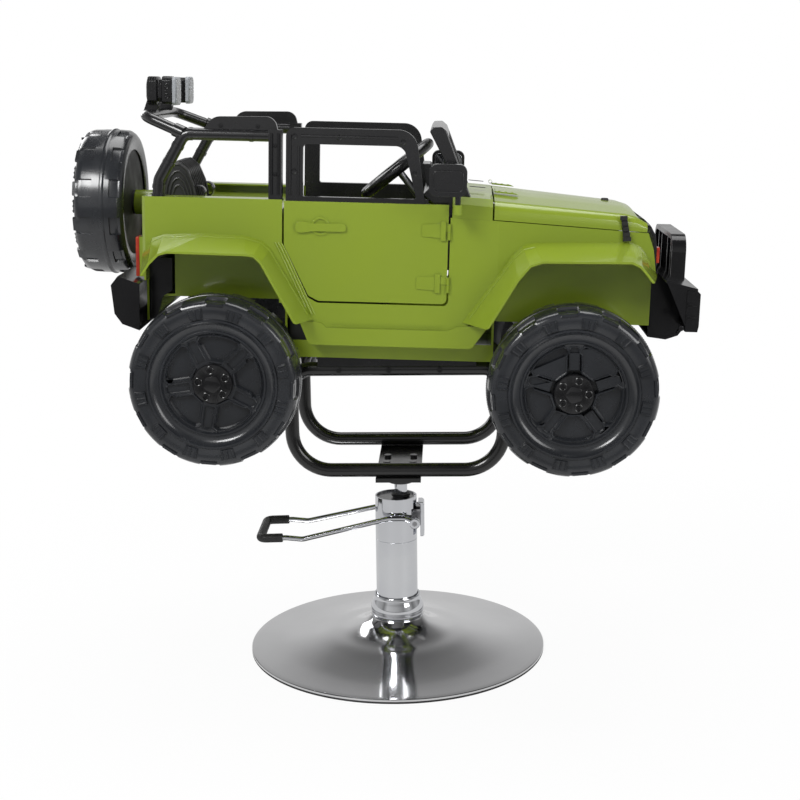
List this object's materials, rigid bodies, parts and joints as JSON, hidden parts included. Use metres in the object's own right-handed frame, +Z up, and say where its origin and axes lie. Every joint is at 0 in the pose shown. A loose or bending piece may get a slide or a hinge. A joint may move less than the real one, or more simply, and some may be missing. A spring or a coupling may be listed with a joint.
{
  "type": "kids car barber chair",
  "caption": "Child's barber chair: an off-road toy car body on a tube frame, hydraulic pump column with foot pedal and round floor plate; it lifts, swivels and steers.",
  "frame": {"origin": "centre of the floor plate, on the floor", "axes": "+X to the car's nose, +Y to the car's left side, +Z up; the column and the swivel are upright"},
  "size_m": [1.1604, 0.635, 1.1521],
  "materials": {
    "chrome": "polished",
    "frame_black": "gloss",
    "body_green": "gloss",
    "trim_black": "satin",
    "wheel_black": "satin",
    "grip_black": "matt",
    "pod_grey": "satin",
    "lens_clear": "clear",
    "lens_red": "gloss",
    "bolt_steel": "satin",
    "seat_black": "satin"
  },
  "bodies": {
    "base": {"base_disc": "chrome", "base_pad": "grip_black", "base_collar": "chrome", "pump_cover": "chrome", "pump_cap": "trim_black", "pump_body": "bolt_steel", "pump_hood": "chrome"},
    "plunger": {"pump_plunger": "bolt_steel"},
    "pedal": {"pedal_rod": "chrome", "pedal_grip": "grip_black", "pedal_pin": "bolt_steel"},
    "ram": {"ram": "chrome"},
    "car": {"hub_flange": "frame_black", "strap_plate": "frame_black", "frame_bolts": "frame_black", "loop_right": "frame_black", "loop_left": "frame_black", "saddles": "trim_black", "body_tub": "body_green", "side_right": "body_green", "side_left": "body_green", "rear_panel": "body_green", "cowl": "body_green", "bonnet": "body_green", "bonnet_latches": "trim_black", "flares_rear": "body_green", "flares_front": "body_green", "nose_panel": "trim_black", "lamp_lenses": "lens_clear", "signal_lenses": "lens_red", "hinge_pins": "bolt_steel", "cage_right": "trim_black", "cage_left": "trim_black", "light_bar": "trim_black", "roof_lamps": "trim_black", "rear_pod": "pod_grey", "seat": "seat_black", "dash": "trim_black", "screen_frame": "trim_black", "front_axle": "frame_black", "rear_axle": "frame_black", "spare_wheel": "wheel_black", "bumper_front": "trim_black", "bumper_rear": "trim_black"},
    "door_right": {"door_right": "body_green", "window_frame_right": "trim_black"},
    "door_left": {"door_left": "body_green", "window_frame_left": "trim_black"},
    "steering": {"steering_wheel": "trim_black", "steering_shaft": "bolt_steel"},
    "horn": {"horn_button": "trim_black"},
    "knuckle_right": {"knuckle_right": "frame_black"},
    "knuckle_left": {"knuckle_left": "frame_black"},
    "tie_rod": {"tie_rod": "bolt_steel"},
    "wheel_front_right": {"wheel_front_right": "wheel_black"},
    "wheel_front_left": {"wheel_front_left": "wheel_black"},
    "wheel_rear_right": {"wheel_rear_right": "wheel_black"},
    "wheel_rear_left": {"wheel_rear_left": "wheel_black"},
    "mirror_right": {"mirror_right": "trim_black"},
    "mirror_left": {"mirror_left": "trim_black"}
  },
  "joints": [
    {"name": "ram_lift", "type": "slide", "parent": "base", "child": "ram", "axis": [0, 0, 1], "range_m": [0, 0.15]},
    {"name": "seat_swivel", "type": "hinge", "parent": "ram", "child": "car", "pos_m": [0.01, 0, 0.38], "axis": [0, 0, 1], "continuous": true},
    {"name": "pedal_pivot", "type": "hinge", "parent": "base", "child": "pedal", "pos_m": [0.039, 0, 0.277], "axis": [0, -1, 0], "range_deg": [0, 24], "stiffness_Nm_per_rad": 8, "springref_deg": -20.05},
    {"name": "plunger_slide", "type": "slide", "parent": "base", "child": "plunger", "axis": [0, 0, -1], "range_m": [0, 0.006]},
    {"name": "door_right_hinge", "type": "hinge", "parent": "car", "child": "door_right", "pos_m": [0.10869, -0.1933, 0.82137], "axis": [0.0349, 0, 0.9994], "range_deg": [0, 40]},
    {"name": "door_left_hinge", "type": "hinge", "parent": "car", "child": "door_left", "pos_m": [0.10869, 0.1933, 0.82137], "axis": [-0.0349, 0, -0.9994], "range_deg": [0, 40]},
    {"name": "mirror_right_turn", "type": "hinge", "parent": "car", "child": "mirror_right", "pos_m": [0.12567, -0.236, 0.92083], "axis": [0.0349, 0, 0.9994], "range_deg": [-5, 80]},
    {"name": "mirror_left_turn", "type": "hinge", "parent": "car", "child": "mirror_left", "pos_m": [0.12567, 0.236, 0.92083], "axis": [-0.0349, 0, -0.9994], "range_deg": [-5, 80]},
    {"name": "steering_turn", "type": "hinge", "parent": "car", "child": "steering", "pos_m": [0.01042, 0, 0.97289], "axis": [-0.6101, 0, 0.7923], "range_deg": [-45, 45]},
    {"name": "horn_press", "type": "slide", "parent": "steering", "child": "horn", "axis": [0.6101, 0, -0.7923], "range_m": [0, 0.003], "stiffness_N_per_m": 400, "springref_m": -0.0015},
    {"name": "knuckle_right_turn", "type": "hinge", "parent": "car", "child": "knuckle_right", "pos_m": [0.33032, -0.177, 0.59199], "axis": [0.0349, 0, 0.9994], "range_deg": [-12, 12]},
    {"name": "knuckle_left_turn", "type": "hinge", "parent": "car", "child": "knuckle_left", "pos_m": [0.33032, 0.177, 0.59199], "axis": [0.0349, 0, 0.9994], "range_deg": [-12, 12]},
    {"name": "tie_rod_slide", "type": "slide", "parent": "car", "child": "tie_rod", "axis": [0, 1, 0], "range_m": [-0.0085, 0.0085]},
    {"name": "wheel_front_right_spin", "type": "hinge", "parent": "knuckle_right", "child": "wheel_front_right", "pos_m": [0.33032, -0.255, 0.59199], "axis": [0, 1, 0], "continuous": true},
    {"name": "wheel_front_left_spin", "type": "hinge", "parent": "knuckle_left", "child": "wheel_front_left", "pos_m": [0.33032, 0.255, 0.59199], "axis": [0, 1, 0], "continuous": true},
    {"name": "wheel_rear_right_spin", "type": "hinge", "parent": "car", "child": "wheel_rear_right", "pos_m": [-0.31329, -0.255, 0.61447], "axis": [0, 1, 0], "continuous": true},
    {"name": "wheel_rear_left_spin", "type": "hinge", "parent": "car", "child": "wheel_rear_left", "pos_m": [-0.31329, 0.255, 0.61447], "axis": [0, 1, 0], "continuous": true}
  ],
  "couplings": [
    {"joint": "plunger_slide", "follows": "pedal_pivot", "m_per_rad": 0.01},
    {"joint": "knuckle_right_turn", "follows": "steering_turn", "ratio": 0.25},
    {"joint": "knuckle_left_turn", "follows": "steering_turn", "ratio": 0.25},
    {"joint": "tie_rod_slide", "follows": "steering_turn", "m_per_rad": -0.010175}
  ]
}
